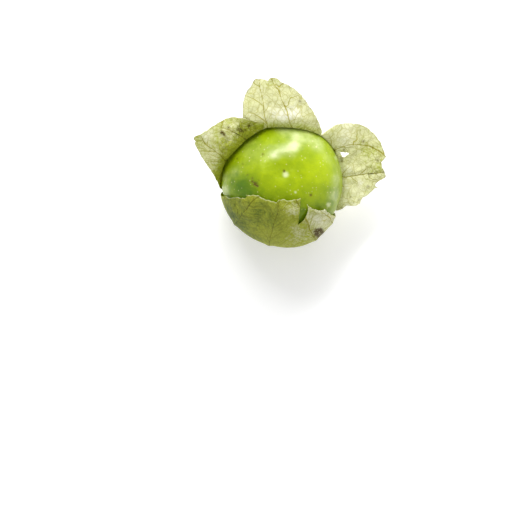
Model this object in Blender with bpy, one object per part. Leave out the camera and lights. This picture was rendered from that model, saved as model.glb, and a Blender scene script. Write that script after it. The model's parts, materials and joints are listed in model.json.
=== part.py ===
"""A tomatillo as picked: a glossy green fruit on its stem end, in a papery husk torn open in five lobes.

The model is in metres, +Z up, and stands on a small flat ring under the husk. The origin is the middle of
the footprint of the whole thing. Azimuths are in degrees round the fruit's axis, from +X towards +Y, and
latitudes are in degrees up the fruit, from -90 at the stem to 90 at the blossom end. Sizes are in
millimetres until the end.
"""

from dataclasses import dataclass

import bmesh
import bpy
import numpy as np

MM = 0.001

# The fruit: a ball flattened a little along its axis, with a hollow where the stem joins it
FRUIT_RADIUS = 25.0
FRUIT_HALF_HEIGHT = 22.0
FRUIT_FULLNESS = 2.2          # 2 is an ellipse; more makes the shoulders fuller
HOLLOW_DEPTH = 4.2
HOLLOW_WIDTH = 5.5
FURROW_COUNT = 5
FURROW_DEPTH = 0.7
FURROW_LATITUDE = -62.0       # where the furrows round the hollow are deepest
FURROW_SPREAD = 22.0
FURROW_SHARPNESS = 8          # power of the cosine that is a furrow's cross-section
UNEVENNESS = 0.25             # how far the flanks fall short of round
UNEVEN_AZIMUTH = 55.6         # where they fall short most
BLOSSOM_SCAR = (0.6, 3.5)     # off the axis, because the fruit leans a little
DIMPLE_DEPTH = 0.7
DIMPLE_WIDTH = 4.5
FRUIT_COLUMNS = 48
FRUIT_ROWS = 28

# The husk: one sheet that follows the fruit, then folds out or closes over it
HUSK_THICKNESS = 0.6
CLEARANCE = 0.35              # between pieces that touch
REST_RING = (6.5, 10.5)       # inner and outer radius of the flat ring that it stands on
CUP_RADII = (2.3, 3.8, 5.2, 6.5, 8.5, 10.5, 13.2, 16.0, 18.8, 21.2, 22.9)
RIM_LATITUDE = -20.0          # where the deepest tears between the lobes end
RIB_HEIGHT = 0.6
RIB_WIDTH = 1.5
RIB_START = 11.5              # radius where the ribs start to stand out, outside the rest ring
RIB_GROWTH = 6.0              # distance over which they reach their height
BELLY_DEPTH = 1.6             # how far the loose lower half stands off the fruit along its ribs
BELLY_LATITUDE = -40.0
BELLY_SPREAD = 14.0
BELLY_BETWEEN_RIBS = 0.45     # share of that depth that is left between two ribs
PLEAT_WIDTH = 3.5
FLUTTER = 0.5                 # waves of a flared lobe's free edge
FLUTTER_COUNT = 13
HUG_ROWS = 5                  # of each lobe below its fold
RIB_AZIMUTHS = (5.0, 31.0, 80.0, 106.0, 131.0, 160.0, 222.0, 258.0, 300.0, 320.0)
SLACK_LATITUDE = 8.0          # the husk stands furthest off the fruit here
SLACK_SPREAD = 28.0
# How far the husk stands off the fruit at that latitude, by azimuth
SLACK = ((-29, 0.5), (30, 0.2), (110, 0.2), (188, 0.3), (222, 0.6), (258, 1.1), (295, 2.3), (312, 1.6),
         (331, 0.5))
# How far a flared lobe stands off the fruit where it folds, by azimuth
LIP = ((30, 0.0), (50, 0.1), (80, 0.35), (105, 0.8), (130, 1.1), (150, 1.0), (170, 0.5), (188, 0.0))
FREE_ROW_POWER = 0.75         # below 1, the rows of a flared lobe are wider beside its fold

# The stem: a stub snapped off inside the hollow
STEM_RADIUS = 1.3
STEM_END_RADIUS = 1.5         # the broken end is slightly swollen
STEM_END_HEIGHT = 0.4
STEM_COLLAR_RADIUS = 1.65
STEM_COLLAR_HEIGHT = 0.6
STEM_BEVEL = 0.05
STEM_TOP_GAP = 0.9            # below the pole of the hollow, which is steep round it
STEM_FOOT = 0.5               # its height above the surface that the fruit stands on
STEM_SIDES = 16

# The fruit's axis in the finished frame, which puts the origin in the middle of the footprint
AXIS_X = -3.5
AXIS_Y = -7.2


@dataclass(frozen=True)
class Lobe:
    """One lobe of the husk: where it leaves the cup, where it leaves the fruit, and its free edge.

    rim and fold are the azimuths of its two sides at the cup's rim and where it stops following the fruit,
    and fold_latitudes gives how high that is. A flared lobe has its edge as (azimuth, reach from the axis) and
    rises by rise over the distance run, and by slope after it. A closed lobe has its edge as points in plan,
    (x, y), and lift is how far that edge stands off the fruit, by the share of the way along it.
    """

    columns: int
    free_rows: int
    rim: tuple
    fold: tuple
    fold_latitudes: tuple
    edge: tuple
    flared: bool = True
    rise: tuple = ()
    run: tuple = ()
    corner: float = 2.0
    slope: float = 0.0
    cupping: float = 0.0
    lift: tuple = ()


LOBES = {
    "far": Lobe(
        columns=16, free_rows=8, rim=(50, 112), fold=(50, 110),
        fold_latitudes=((50, 14), (58, 22), (66, 27), (79, 32), (110, 32)),
        edge=((51.5, 27.0), (58, 28.6), (66, 30.8), (74, 33.9), (82, 37.2), (90, 39.6), (97, 41.5),
              (103.5, 43.1), (107, 42.0), (112, 38.5), (118, 34.0), (122.5, 30.0)),
        rise=((50, 3), (80, 5), (123, 4)), run=((50, 2), (80, 2.6), (110, 2.6), (123, 4)), slope=0.1,
        cupping=0.6),
    "left": Lobe(
        columns=19, free_rows=8, rim=(112, 188), fold=(110, 184),
        fold_latitudes=((110, 32), (129, 35), (150, 31), (165, 21), (184, 4)),
        edge=((115, 24.6), (124, 29.0), (133, 33.8), (144, 36.1), (154.5, 39.9), (160, 36.6), (168, 31.5),
              (176, 28.2), (184, 27.0)),
        rise=((110, 4.5), (124, 8), (140, 8), (154, 7), (170, 4.5), (184, 2)),
        run=((110, 5), (130, 6.5), (138, 6), (144, 4.6), (152, 3.8), (160, 3.2), (184, 2.5)),
        corner=4.0, slope=-0.15),
    "near_left": Lobe(
        columns=25, free_rows=6, rim=(188, 289), fold=(194, 289),
        fold_latitudes=((194, 10), (235, 32), (289, 44)), flared=False,
        edge=((-22.9, -6.3), (-20.5, -7.0), (-14.9, -7.1), (-12.2, -5.9), (-8.3, -7.2), (-2.8, -9.0),
              (0.4, -7.9), (2.7, -8.5), (7.2, -7.4)),
        lift=((0.0, 0.5), (0.5, 0.6), (0.68, 1.2), (0.88, 2.0), (1.0, 1.4))),
    "near_right": Lobe(
        columns=11, free_rows=6, rim=(289, 331), fold=(289, 327),
        fold_latitudes=((289, 44), (327, 2)), flared=False,
        edge=((10.0, -9.9), (12.4, -11.6), (17.7, -12.1), (21.5, -14.2)),
        lift=((0.0, 1.2), (0.4, 0.8), (0.7, 0.9), (1.0, 1.0))),
    "right": Lobe(
        columns=20, free_rows=7, rim=(-29, 50), fold=(-28, 50),
        fold_latitudes=((-29, -13), (0, -11), (25, -4), (40, 6), (50, 14)),
        edge=((-27, 26.5), (-20, 29.0), (-17, 32.8), (-9, 35.5), (-1, 39.0), (3, 42.8), (10, 42.2), (14, 44.3),
              (26, 43.2), (33, 41.2), (41, 36.6), (45, 33.0), (48, 28.6)),
        rise=((-29, 4), (10, 3.2), (35, 2), (50, 1)), run=((-29, 3.5), (50, 3.5)), slope=-0.04, cupping=-1.0),
}


def through(x, stations):
    """Cubic curve through the stations, whose slope at each comes from its neighbours."""
    places, values = np.array(stations, float).T
    slopes = np.gradient(values, places)
    x = np.clip(x, places[0], places[-1])
    i = np.clip(np.searchsorted(places, x, side="right") - 1, 0, len(places) - 2)
    span = places[i + 1] - places[i]
    t = (x - places[i]) / span
    rise = t * t * (3 - 2 * t)
    start = values[i] * (1 - rise) + span * slopes[i] * t * (1 - t) ** 2
    return start + values[i + 1] * rise - span * slopes[i + 1] * t * t * (1 - t)


def fruit_section(latitude):
    """The fruit's profile: a superellipse, with the hollow's bell curve lifting its lower pole."""
    angle = np.radians(latitude)
    power = 2 / FRUIT_FULLNESS
    radius = FRUIT_RADIUS * np.cos(angle) ** power
    height = FRUIT_HALF_HEIGHT * np.sign(angle) * np.abs(np.sin(angle)) ** power
    hollow = np.where(angle < 0, HOLLOW_DEPTH * np.exp(-(radius / HOLLOW_WIDTH) ** 2), 0.0)
    return radius, height + hollow


FRUIT_LOW = fruit_section(np.linspace(-89.9, 0, 900))[1].min()
FRUIT_CENTRE = HUSK_THICKNESS + CLEARANCE - FRUIT_LOW


def latitude_at(radius, reach):
    """The latitude, without its sign, at which an even fruit of the given reach has the given radius."""
    return np.degrees(np.arccos(np.clip(radius / reach, 0, 1) ** (FRUIT_FULLNESS / 2)))


def follow_fruit(azimuth, latitude, lift=0.0):
    """Points beside the fruit, off its surface by the clearance, the husk's slack, its ribs and lift."""
    step = 0.05
    radius, height = fruit_section(latitude)
    low = fruit_section(latitude - step)
    high = fruit_section(latitude + step)
    along = np.stack([high[0] - low[0], high[1] - low[1]])
    along = along / np.hypot(*along)
    slack = through(np.mod(azimuth + 29, 360) - 29, SLACK)
    slack = slack * np.exp(-((latitude - SLACK_LATITUDE) / SLACK_SPREAD) ** 2)
    pleat = np.exp(-(rib_distance(azimuth, radius) / PLEAT_WIDTH) ** 2)
    belly = BELLY_DEPTH * np.exp(-((latitude - BELLY_LATITUDE) / BELLY_SPREAD) ** 2)
    slack = slack + belly * blend(BELLY_BETWEEN_RIBS, 1.0, pleat)
    off = CLEARANCE + slack + rib_relief(azimuth, radius) + lift
    radius = radius + along[1] * off
    height = height - along[0] * off + FRUIT_CENTRE
    in_ring = (latitude < 0) & (radius > REST_RING[0] - 0.5) & (radius < REST_RING[1] + 0.5)
    height = np.where(in_ring, HUSK_THICKNESS, height)
    return place(azimuth, radius, height)


def rib_distance(azimuth, radius):
    """How far round the axis the nearest rib is."""
    gap = np.abs((azimuth[..., None] - np.array(RIB_AZIMUTHS) + 180) % 360 - 180)
    return np.radians(gap.min(axis=-1)) * radius


def rib_relief(azimuth, radius):
    """Ridges that stand out by RIB_HEIGHT where a rib runs, and die away towards the rest ring."""
    fade = np.clip((radius - RIB_START) / RIB_GROWTH, 0, 1)
    return RIB_HEIGHT * fade * np.exp(-(rib_distance(azimuth, radius) / RIB_WIDTH) ** 2)


def place(azimuth, radius, height):
    """Points from azimuth, distance to the axis and height."""
    angle = np.radians(azimuth)
    return np.stack(np.broadcast_arrays(radius * np.cos(angle), radius * np.sin(angle), height), axis=-1)


def blend(start, end, amount):
    """The value that is amount of the way from start to end."""
    return start + (end - start) * amount


def hugging_part(lobe, azimuth_at_fold, latitude_at_fold):
    """The rows of a lobe between the cup's rim and its fold, which follow the fruit up to the lobe's lip."""
    across = np.linspace(0, 1, lobe.columns + 1)[None, :]
    up = np.linspace(0, 1, HUG_ROWS + 1)[:, None]
    azimuth = blend(blend(*lobe.rim, across), azimuth_at_fold, up)
    latitude = blend(RIM_LATITUDE, latitude_at_fold, up)
    return follow_fruit(azimuth, latitude, through(azimuth_at_fold, LIP) * up ** 2)


def flared_part(lobe, azimuth_at_fold, latitude_at_fold):
    """The rows of a lobe that opens outwards: steep beside the fruit, flatter after the distance run."""
    across = np.linspace(0, 1, lobe.columns + 1)[None, :]
    out = np.linspace(0, 1, lobe.free_rows + 1)[:, None] ** FREE_ROW_POWER
    fold = follow_fruit(azimuth_at_fold, latitude_at_fold, through(azimuth_at_fold, LIP))
    fold_radius = np.hypot(fold[..., 0], fold[..., 1])
    edge_azimuth = blend(lobe.edge[0][0], lobe.edge[-1][0], across)
    reach = through(edge_azimuth, lobe.edge)
    azimuth = blend(azimuth_at_fold, edge_azimuth, out)
    distance = (reach - fold_radius) * out
    steep = distance / through(azimuth, lobe.run)
    climb = through(azimuth, lobe.rise) * steep / (1 + steep ** lobe.corner) ** (1 / lobe.corner)
    side = (2 * across - 1) ** 2
    height = fold[..., 2] + climb + lobe.slope * distance + lobe.cupping * side * out
    height = height - rib_relief(azimuth, fold_radius + distance) * np.clip(3 * out, 0, 1)
    height = height + FLUTTER * out ** 2 * np.sin(FLUTTER_COUNT * np.radians(azimuth))
    points = place(azimuth, fold_radius + distance, height)
    points[0] = fold[0]
    return points


def closed_part(lobe, azimuth_at_fold, latitude_at_fold):
    """The rows of a lobe that closes over the fruit, along lines straight in plan, up to its edge."""
    across = np.linspace(0, 1, lobe.columns + 1)[None, :]
    up = np.linspace(0, 1, lobe.free_rows + 1)[:, None]
    corners = np.array(lobe.edge, float)
    along = np.concatenate([[0], np.cumsum(np.hypot(*np.diff(corners, axis=0).T))])
    along = along / along[-1]
    edge = np.stack([np.interp(across, along, line) for line in corners.T], axis=-1)
    lift = through(across, lobe.lift)
    edge_latitude = latitude_at(np.hypot(edge[..., 0], edge[..., 1]), FRUIT_RADIUS + CLEARANCE + lift)
    latitude = blend(latitude_at_fold, edge_latitude, up)
    fold_radius = fruit_section(latitude_at_fold)[0]
    edge_radius = fruit_section(edge_latitude)[0]
    inward = (fold_radius - fruit_section(latitude)[0]) / (fold_radius - edge_radius)
    fold = place(azimuth_at_fold, fold_radius, 0.0)[..., :2]
    edge = edge * (edge_radius / np.hypot(edge[..., 0], edge[..., 1]))[..., None]
    way = blend(fold, edge, inward[..., None])
    azimuth = np.degrees(np.arctan2(way[..., 1], way[..., 0])) % 360
    return follow_fruit(azimuth, latitude, lift * up ** 2)


def lobe_patches(lobe):
    """The two grids of points that a lobe is made of."""
    across = np.linspace(0, 1, lobe.columns + 1)[None, :]
    azimuth_at_fold = blend(*lobe.fold, across)
    latitude_at_fold = through(azimuth_at_fold, lobe.fold_latitudes)
    free_part = flared_part if lobe.flared else closed_part
    return [part(lobe, azimuth_at_fold, latitude_at_fold) for part in (hugging_part, free_part)]


def cup_patch():
    """The grid from the hole round the stem to the rim, with the columns of the lobes above it."""
    azimuth = np.concatenate([np.linspace(*lobe.rim, lobe.columns + 1) % 360 for lobe in LOBES.values()])
    azimuth = np.unique(np.round(azimuth, 6))
    azimuth = np.append(azimuth, azimuth[0] + 360)
    latitudes = -latitude_at(np.array(CUP_RADII), FRUIT_RADIUS)
    latitudes = np.append(latitudes, RIM_LATITUDE)
    return follow_fruit(*np.broadcast_arrays(azimuth[None, :], latitudes[:, None]))


def grid_triangles(rows, columns, first):
    """Two triangles for each cell of a grid of points, all turned the same way."""
    row, column = np.meshgrid(np.arange(rows - 1), np.arange(columns - 1), indexing="ij")
    corner = (first + row * columns + column).ravel()
    right, up = corner + 1, corner + columns
    return np.concatenate([np.stack([corner, right, up + 1], 1), np.stack([corner, up + 1, up], 1)])


def new_object(name, points, faces, material):
    """An object in the finished frame, with coincident points joined."""
    mesh = bpy.data.meshes.new(name)
    mesh.from_pydata([tuple(point) for point in (points + np.array([AXIS_X, AXIS_Y, 0])) * MM], [], faces)
    form = bmesh.new()
    form.from_mesh(mesh)
    bmesh.ops.remove_doubles(form, verts=form.verts, dist=1e-6)
    form.to_mesh(mesh)
    form.free()
    mesh.shade_smooth()
    mesh.materials.append(material)
    obj = bpy.data.objects.new(name, mesh)
    bpy.context.scene.collection.objects.link(obj)
    return obj


def skin_material(name, colour, roughness):
    """A Principled material of one colour, which is linear red, green and blue."""
    material = bpy.data.materials.new(name)
    material.use_nodes = True
    shader = material.node_tree.nodes["Principled BSDF"]
    shader.inputs["Base Color"].default_value = (*colour, 1.0)
    shader.inputs["Roughness"].default_value = roughness
    shader.inputs["Metallic"].default_value = 0.0
    return material


def turned_faces(rows, columns):
    """Faces of a turned shape whose first and last points are its poles."""
    faces = []
    for column in range(columns):
        after = (column + 1) % columns
        faces.append((0, 1 + after, 1 + column))
        for row in range(rows - 1):
            low, high = 1 + row * columns, 1 + (row + 1) * columns
            faces.append((low + column, low + after, high + after))
            faces.append((low + column, high + after, high + column))
        last = 1 + (rows - 1) * columns
        faces.append((last + column, last + after, last + columns))
    return faces


def build_fruit():
    """The fruit: its profile turned round the axis, with furrows, uneven flanks and a dimple at the top."""
    latitude = np.linspace(-90, 90, FRUIT_ROWS + 2)[1:-1][:, None]
    azimuth = (np.arange(FRUIT_COLUMNS) * 360 / FRUIT_COLUMNS)[None, :]
    radius, height = fruit_section(latitude)
    angle = np.radians(azimuth)
    near_hollow = np.exp(-((latitude - FURROW_LATITUDE) / FURROW_SPREAD) ** 2)
    furrow = FURROW_DEPTH * near_hollow * np.cos(FURROW_COUNT * angle / 2) ** FURROW_SHARPNESS
    flank = UNEVENNESS * np.cos(np.radians(latitude)) ** 2 * np.cos(angle - np.radians(UNEVEN_AZIMUTH)) ** 2
    points = place(azimuth, radius - furrow - flank, height + furrow / 2)
    poles = np.array([[0, 0, fruit_section(-89.99)[1]], [0, 0, FRUIT_HALF_HEIGHT]])
    points = np.concatenate([poles[:1], points.reshape(-1, 3), poles[1:]])
    off_scar = np.hypot(points[:, 0] - BLOSSOM_SCAR[0], points[:, 1] - BLOSSOM_SCAR[1])
    dimple = DIMPLE_DEPTH * np.exp(-(off_scar / DIMPLE_WIDTH) ** 2)
    points[:, 2] += FRUIT_CENTRE - np.where(points[:, 2] > 0, dimple, 0)
    skin = skin_material("tomatillo_skin", (0.34, 0.50, 0.02), 0.25)
    return new_object("fruit", points, turned_faces(FRUIT_ROWS, FRUIT_COLUMNS), skin)


def build_husk():
    """The husk: the cup's grid and those of the lobes, joined where they meet and given their thickness."""
    patches = [cup_patch()]
    for lobe in LOBES.values():
        patches += lobe_patches(lobe)
    points, triangles, count = [], [], 0
    for patch in patches:
        rows, columns = patch.shape[:2]
        triangles.append(grid_triangles(rows, columns, count))
        points.append(patch.reshape(-1, 3))
        count += rows * columns
    paper = skin_material("dried_husk", (0.60, 0.63, 0.24), 0.7)
    husk = new_object("husk", np.concatenate(points), np.concatenate(triangles).tolist(), paper)
    wall = husk.modifiers.new("wall", "SOLIDIFY")
    wall.thickness = HUSK_THICKNESS * MM
    wall.offset = 1.0
    return husk


def build_stem():
    """The stem stub: a turned peg with a collar under the fruit and a swollen broken end."""
    top = FRUIT_CENTRE + fruit_section(-89.99)[1] - STEM_TOP_GAP
    profile = (
        (STEM_FOOT, STEM_END_RADIUS - STEM_BEVEL), (STEM_FOOT + STEM_END_HEIGHT, STEM_END_RADIUS),
        (blend(STEM_FOOT, top, 0.5), STEM_RADIUS), (top - STEM_COLLAR_HEIGHT, STEM_RADIUS + STEM_BEVEL),
        (top - STEM_COLLAR_HEIGHT / 2, STEM_COLLAR_RADIUS),
        (top - STEM_BEVEL, STEM_COLLAR_RADIUS - 3 * STEM_BEVEL))
    heights, radii = np.array(profile).T
    azimuth = np.arange(STEM_SIDES) * 360 / STEM_SIDES
    rings = place(azimuth[None, :], radii[:, None], heights[:, None])
    poles = np.array([[0, 0, STEM_FOOT + 2 * STEM_BEVEL], [0, 0, top]])
    points = np.concatenate([poles[:1], rings.reshape(-1, 3), poles[1:]])
    bark = skin_material("green_stem", (0.25, 0.30, 0.08), 0.6)
    return new_object("stem", points, turned_faces(len(profile), STEM_SIDES), bark)


for old in list(bpy.data.objects):
    bpy.data.objects.remove(old, do_unlink=True)

build_fruit()
build_husk()
build_stem()
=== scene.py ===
import json
import logging
from dataclasses import dataclass, field
from enum import Enum
from functools import partial, reduce
from typing import Callable, Optional, Sequence, Union

import bmesh
import bpy
import numpy as np
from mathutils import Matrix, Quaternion, Vector

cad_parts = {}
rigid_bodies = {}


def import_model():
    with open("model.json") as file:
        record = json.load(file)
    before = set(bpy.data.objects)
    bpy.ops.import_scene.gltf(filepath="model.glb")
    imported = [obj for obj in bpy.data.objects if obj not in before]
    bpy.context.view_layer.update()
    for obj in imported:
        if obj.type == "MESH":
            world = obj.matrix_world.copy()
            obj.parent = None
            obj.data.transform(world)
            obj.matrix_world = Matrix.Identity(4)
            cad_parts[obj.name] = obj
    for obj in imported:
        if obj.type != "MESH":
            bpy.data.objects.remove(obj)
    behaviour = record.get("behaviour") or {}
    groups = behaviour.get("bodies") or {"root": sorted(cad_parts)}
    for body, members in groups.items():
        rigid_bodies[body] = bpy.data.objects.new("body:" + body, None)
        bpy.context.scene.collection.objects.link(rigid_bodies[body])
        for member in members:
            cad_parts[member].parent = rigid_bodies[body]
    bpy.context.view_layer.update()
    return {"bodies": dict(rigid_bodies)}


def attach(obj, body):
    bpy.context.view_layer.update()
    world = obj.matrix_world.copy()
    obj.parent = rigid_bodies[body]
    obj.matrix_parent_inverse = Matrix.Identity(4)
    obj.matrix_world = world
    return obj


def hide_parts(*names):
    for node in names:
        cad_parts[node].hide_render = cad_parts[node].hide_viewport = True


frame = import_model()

MM = 0.001
BODY = next(iter(frame["bodies"]))
AXIS = (-3.5, -7.2)            # the fruit's axis in the frame, in millimetres
FLOOR_SPAN = 6.0               # metres
JOINED_WITHIN = 1e-6           # metres

Stations = Sequence[tuple[float, float]]
Nicks = Sequence[tuple[float, float, float]]
Waves = Sequence[tuple[float, float, float]]
Marks = Sequence[tuple[float, float, float, float]]
Patch = tuple[np.ndarray, dict[str, np.ndarray]]
Source = Union[bpy.types.Node, bpy.types.NodeSocket, str, float, tuple]
Put = Callable[..., bpy.types.Node]

log = logging.getLogger("tomatillo")


# Small tools for curves, surfaces and nodes

def through(x: np.ndarray, stations: Stations) -> np.ndarray:
    """Cubic curve through stations; its slope at each is the weighted mean of the slopes to its neighbours.

    Args:
        x: Places to read the curve at; those outside the stations are moved to the nearest end.
        stations: (place, value) pairs in rising order of place.

    Returns:
        The curve's values, in the shape of x.
    """
    places, values = np.array(stations, float).T
    slopes = np.gradient(values, places)
    x = np.clip(x, places[0], places[-1])
    i = np.clip(np.searchsorted(places, x, side="right") - 1, 0, len(places) - 2)
    span = places[i + 1] - places[i]
    t = (x - places[i]) / span
    ease = t * t * (3 - 2 * t)
    start = values[i] * (1 - ease) + span * slopes[i] * t * (1 - t) ** 2
    return start + values[i + 1] * ease - span * slopes[i + 1] * t * t * (1 - t)


def blend(start: np.ndarray, end: np.ndarray, amount: np.ndarray) -> np.ndarray:
    """The value that is amount of the way from start to end."""
    return start + (end - start) * amount


def place(azimuth: np.ndarray, radius: np.ndarray, height: np.ndarray) -> np.ndarray:
    """Points (radius cos azimuth, radius sin azimuth, height), with the azimuth in degrees."""
    angle = np.radians(azimuth)
    return np.stack(np.broadcast_arrays(radius * np.cos(angle), radius * np.sin(angle), height), axis=-1)


def spots(points: np.ndarray, marks: Marks) -> np.ndarray:
    """Bell curves in plan: each mark (x, y, width, strength) adds strength exp(-(distance / width)^2).

    Args:
        points: Points in millimetres from the fruit's axis.
        marks: The marks, in millimetres from the same axis.

    Returns:
        The sum at each point.
    """
    total = np.zeros(points.shape[:-1])
    for x, y, width, strength in marks:
        away = (points[..., 0] - x) ** 2 + (points[..., 1] - y) ** 2
        total = total + strength * np.exp(-away / width ** 2)
    return total


def ripple(points: np.ndarray, wavelength: float, seed: int, waves: int = 14) -> np.ndarray:
    """Smooth unevenness: the sum of sine waves in random directions, times the root of 2 / waves.

    Args:
        points: Points in millimetres.
        wavelength: The waves' mean length in millimetres.
        seed: Seed of the directions, lengths and phases.
        waves: How many waves are added.

    Returns:
        The unevenness at each point, with a standard deviation of 1.
    """
    draw = np.random.default_rng(seed)
    direction = draw.normal(size=(waves, 3))
    direction /= np.linalg.norm(direction, axis=1, keepdims=True)
    number = 2 * np.pi / (wavelength * draw.uniform(0.7, 1.4, waves))
    phase = draw.uniform(0, 2 * np.pi, waves)
    total = np.zeros(points.shape[:-1])
    for way, rate, start in zip(direction, number, phase):
        total = total + np.sin(points @ way * rate + start)
    return total * np.sqrt(2 / waves)


def linear(colour: str) -> tuple[float, float, float, float]:
    """Turns sRGB to linear: v / 12.92 up to 0.04045, and ((v + 0.055) / 1.055)^2.4 above it.

    Args:
        colour: A hex colour, such as #A9BC04.

    Returns:
        Red, green, blue and an alpha of 1.
    """
    parts = np.array([int(colour[i:i + 2], 16) for i in (1, 3, 5)]) / 255
    straight = np.where(parts <= 0.04045, parts / 12.92, ((parts + 0.055) / 1.055) ** 2.4)
    return (*straight.tolist(), 1.0)


class Step(Enum):
    """The steps of a finish: each is a node's type, its settings, and the inputs that are fed in order."""

    PLACE = ("ShaderNodeTexCoord", {}, ())
    CARRIED = ("ShaderNodeAttribute", {}, ())
    SPLIT = ("ShaderNodeSeparateXYZ", {}, (0,))
    JOIN = ("ShaderNodeCombineXYZ", {}, (0, 1))
    CHANNELS = ("ShaderNodeSeparateColor", {}, (0,))
    SQUEEZE = ("ShaderNodeMapping", {}, ("Vector", "Scale"))
    SHIFT = ("ShaderNodeVectorMath", {"operation": "SUBTRACT"}, (0, 1))
    SWAY = ("ShaderNodeVectorMath", {"operation": "MULTIPLY_ADD"}, (0, 1, 2))
    NOISE = ("ShaderNodeTexNoise", {}, ("Vector", "Scale", "Detail", "Roughness"))
    CELLS = ("ShaderNodeTexVoronoi", {}, ("Vector", "Scale"))
    SEAMS = ("ShaderNodeTexVoronoi", {"feature": "DISTANCE_TO_EDGE"}, ("Vector", "Scale"))
    PLUS = ("ShaderNodeMath", {"operation": "ADD"}, (0, 1))
    MINUS = ("ShaderNodeMath", {"operation": "SUBTRACT"}, (0, 1))
    TIMES = ("ShaderNodeMath", {"operation": "MULTIPLY"}, (0, 1))
    LARGER = ("ShaderNodeMath", {"operation": "MAXIMUM"}, (0, 1))
    NEAREST = ("ShaderNodeMath", {"operation": "ROUND"}, (0,))
    SIZE = ("ShaderNodeMath", {"operation": "ABSOLUTE"}, (0,))
    SIGN = ("ShaderNodeMath", {"operation": "SIGN"}, (0,))
    FOLD = ("ShaderNodeMath", {"operation": "PINGPONG"}, (0, 1))
    RAMP = ("ShaderNodeMapRange", {"interpolation_type": "SMOOTHSTEP"},
            ("Value", "From Min", "From Max", "To Min", "To Max"))
    OVER = ("ShaderNodeMix", {"data_type": "RGBA", "blend_type": "MIX"}, (6, 7, 0))
    STAIN = ("ShaderNodeMix", {"data_type": "RGBA", "blend_type": "MULTIPLY"}, (6, 7, 0))
    RELIEF = ("ShaderNodeBump", {}, ("Height", "Strength", "Distance"))
    SURFACE = ("ShaderNodeBsdfPrincipled", {}, ("Base Color", "Roughness", "Normal"))
    GLOW = ("ShaderNodeBsdfTranslucent", {}, ("Color", "Normal"))
    PARTLY = ("ShaderNodeMixShader", {}, (0, 1, 2))
    DONE = ("ShaderNodeOutputMaterial", {}, ("Surface",))


def add(tree: bpy.types.NodeTree, step: Step, *sources: Source, inputs: Optional[dict] = None,
        **settings) -> bpy.types.Node:
    """Adds a node with its settings, and links or sets its inputs.

    Args:
        tree: The node tree.
        step: Which node.
        sources: What feeds the step's inputs in order: a node (by its first output in use), a socket, a hex
            colour or a value.
        inputs: Further inputs by name.
        settings: Further settings by name.

    Returns:
        The new node.
    """
    kind, preset, order = step.value
    node = tree.nodes.new(kind)
    for name, value in {**preset, **settings}.items():
        setattr(node, name, value)
    for name, source in {**dict(zip(order, sources)), **(inputs or {})}.items():
        if isinstance(source, bpy.types.Node):
            source = next(socket for socket in source.outputs if socket.enabled)
        if isinstance(source, bpy.types.NodeSocket):
            tree.links.new(source, node.inputs[name])
        else:
            node.inputs[name].default_value = linear(source) if isinstance(source, str) else source
    return node


def heap(put: Put, *layers: Source) -> bpy.types.Node:
    """The sum of all the layers, added in order."""
    return reduce(partial(put, Step.PLUS), layers)


def blank(name: str) -> tuple[bpy.types.Material, Put]:
    """Starts a finish.

    Args:
        name: The material's name.

    Returns:
        The empty material, and add with its node tree filled in.
    """
    material = bpy.data.materials.new(name)
    material.use_nodes = True
    material.node_tree.nodes.clear()
    return material, partial(add, material.node_tree)


def grid_quads(rows: int, columns: int, first: int = 0) -> np.ndarray:
    """The four corners of each cell of a grid of points, all turned the same way.

    Args:
        rows: The grid's rows of points.
        columns: The points in a row.
        first: The number of its first point.

    Returns:
        Four point numbers for each cell.
    """
    row, column = np.meshgrid(np.arange(rows - 1), np.arange(columns - 1), indexing="ij")
    corner = (first + row * columns + column).ravel()
    return np.stack([corner, corner + 1, corner + columns + 1, corner + columns], axis=1)


def make_piece(name: str, points: np.ndarray, quads: np.ndarray, values: dict[str, np.ndarray],
               material: bpy.types.Material) -> bpy.types.Object:
    """A smooth mesh piece from points in millimetres round the fruit's axis, with its double points joined.

    Args:
        name: The piece's name.
        points: One row of x, y, z for each point.
        quads: Four point numbers for each face.
        values: Attribute name to one row of three numbers for each point; faces' corners carry them.
        material: Its finish.

    Returns:
        The object, which stands at the origin.
    """
    mesh = bpy.data.meshes.new(name)
    placed = (points + np.array([*AXIS, 0.0])) * MM
    mesh.vertices.add(len(placed))
    mesh.vertices.foreach_set("co", placed.astype(np.float32).ravel())
    mesh.loops.add(quads.size)
    mesh.loops.foreach_set("vertex_index", quads.astype(np.int32).ravel())
    mesh.polygons.add(len(quads))
    mesh.polygons.foreach_set("loop_start", np.arange(0, quads.size, 4, dtype=np.int32))
    mesh.update(calc_edges=True)
    for label, rows in values.items():
        carried = mesh.attributes.new(label, "FLOAT_VECTOR", "CORNER")
        carried.data.foreach_set("vector", rows[quads.ravel()].astype(np.float32).ravel())
    form = bmesh.new()
    form.from_mesh(mesh)
    bmesh.ops.remove_doubles(form, verts=form.verts, dist=JOINED_WITHIN)
    form.to_mesh(mesh)
    form.free()
    mesh.shade_smooth()
    mesh.materials.append(material)
    piece = bpy.data.objects.new(name, mesh)
    bpy.context.scene.collection.objects.link(piece)
    return piece


def turned_piece(name: str, points: np.ndarray, values: dict[str, np.ndarray],
                 material: bpy.types.Material) -> bpy.types.Object:
    """A piece turned round the axis, with the tiny rings of edges at its poles filled.

    Args:
        name: The piece's name.
        points: Its grid of points, a row for each ring.
        values: Attribute name to a grid of three numbers for each point.
        material: Its finish.

    Returns:
        The object.
    """
    flat = {label: rows.reshape(-1, 3) for label, rows in values.items()}
    piece = make_piece(name, points.reshape(-1, 3), grid_quads(*points.shape[:2]), flat, material)
    form = bmesh.new()
    form.from_mesh(piece.data)
    rim = [edge for edge in form.edges if edge.is_boundary]
    bmesh.ops.holes_fill(form, edges=rim, sides=0)
    form.to_mesh(piece.data)
    form.free()
    return piece


# Finishes

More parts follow.
